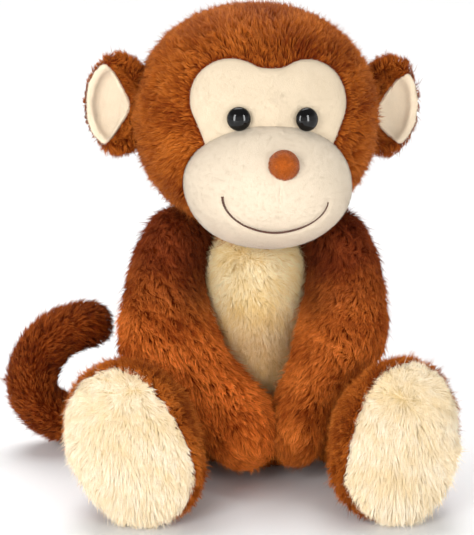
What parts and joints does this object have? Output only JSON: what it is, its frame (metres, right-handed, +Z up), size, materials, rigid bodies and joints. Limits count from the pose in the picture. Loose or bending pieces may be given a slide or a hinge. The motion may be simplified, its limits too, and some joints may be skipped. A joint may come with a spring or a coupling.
{
  "type": "stuffed monkey",
  "caption": "Seated stuffed monkey in long brown plush with cream face, belly and soles, safety eyes, cupped ears, a curled tail and limbs that turn at sewn joints.",
  "frame": {"origin": "middle of the flat seat, on the surface that the toy sits on", "axes": "+Z up, -Y the way that the belly and the feet point, +X the toy's own left side"},
  "size_m": [0.2866, 0.2452, 0.296],
  "materials": {
    "brown_plush": "long shaggy pile",
    "cream_plush": "long soft pile",
    "short_pile": "short smooth pile",
    "nose_plush": "felted short pile",
    "thread": "twisted embroidery thread",
    "stuffing": "loose white fibre",
    "pellet_bag": "plain woven",
    "label": "satin woven, blank",
    "eye": "high gloss",
    "washer": "moulded"
  },
  "bodies": {
    "torso": {"body_right_panel": "brown_plush", "body_left_panel": "brown_plush", "belly_panel": "cream_plush", "seat_panel": "brown_plush", "body_stuffing": "stuffing", "pellet_bag": "pellet_bag", "care_label": "label"},
    "neck": {"neck_plug": "stuffing"},
    "head": {"head_right_panel": "brown_plush", "head_left_panel": "brown_plush", "head_back_panel": "brown_plush", "head_stuffing": "stuffing", "face_patch": "short_pile", "muzzle_cover": "short_pile", "muzzle_stuffing": "stuffing", "nose": "nose_plush", "mouth_stitching": "thread", "eye_right": "eye", "eye_left": "eye", "eye_right_washer": "washer", "eye_left_washer": "washer", "ear_right_back": "brown_plush", "ear_right_lining": "short_pile", "ear_left_back": "brown_plush", "ear_left_lining": "short_pile"},
    "arm_right": {"arm_right_outer_panel": "brown_plush", "arm_right_inner_panel": "brown_plush", "arm_right_stuffing": "stuffing"},
    "arm_left": {"arm_left_outer_panel": "brown_plush", "arm_left_inner_panel": "brown_plush", "arm_left_stuffing": "stuffing"},
    "leg_right": {"leg_right_upper_panel": "brown_plush", "leg_right_lower_panel": "brown_plush", "leg_right_stuffing": "stuffing", "foot_right_sole": "cream_plush"},
    "leg_left": {"leg_left_upper_panel": "brown_plush", "leg_left_lower_panel": "brown_plush", "leg_left_stuffing": "stuffing", "foot_left_sole": "cream_plush"},
    "tail": {"tail_rear_panel": "brown_plush", "tail_front_panel": "brown_plush", "tail_stuffing": "stuffing"}
  },
  "joints": [
    {"name": "neck_nod", "type": "hinge", "parent": "torso", "child": "neck", "pos_m": [0, 0.002, 0.154], "axis": [-1, 0, 0], "range_deg": [-12, 10]},
    {"name": "neck_turn", "type": "hinge", "parent": "neck", "child": "head", "pos_m": [0, 0.002, 0.154], "axis": [0, 0, 1], "range_deg": [-38, 22]},
    {"name": "arm_right_raise", "type": "hinge", "parent": "torso", "child": "arm_right", "pos_m": [-0.051, -0.004, 0.145], "axis": [-1, 0, 0], "range_deg": [0, 50]},
    {"name": "arm_left_raise", "type": "hinge", "parent": "torso", "child": "arm_left", "pos_m": [0.051, -0.004, 0.145], "axis": [-1, 0, 0], "range_deg": [0, 50]},
    {"name": "leg_right_splay", "type": "hinge", "parent": "torso", "child": "leg_right", "pos_m": [-0.056, -0.018, 0.029], "axis": [0, 0, -1], "range_deg": [0, 25]},
    {"name": "leg_left_splay", "type": "hinge", "parent": "torso", "child": "leg_left", "pos_m": [0.056, -0.018, 0.029], "axis": [0, 0, 1], "range_deg": [0, 25]},
    {"name": "tail_swing", "type": "hinge", "parent": "torso", "child": "tail", "pos_m": [-0.02, 0.053, 0.018], "axis": [0, 0, -1], "range_deg": [0, 50]}
  ]
}
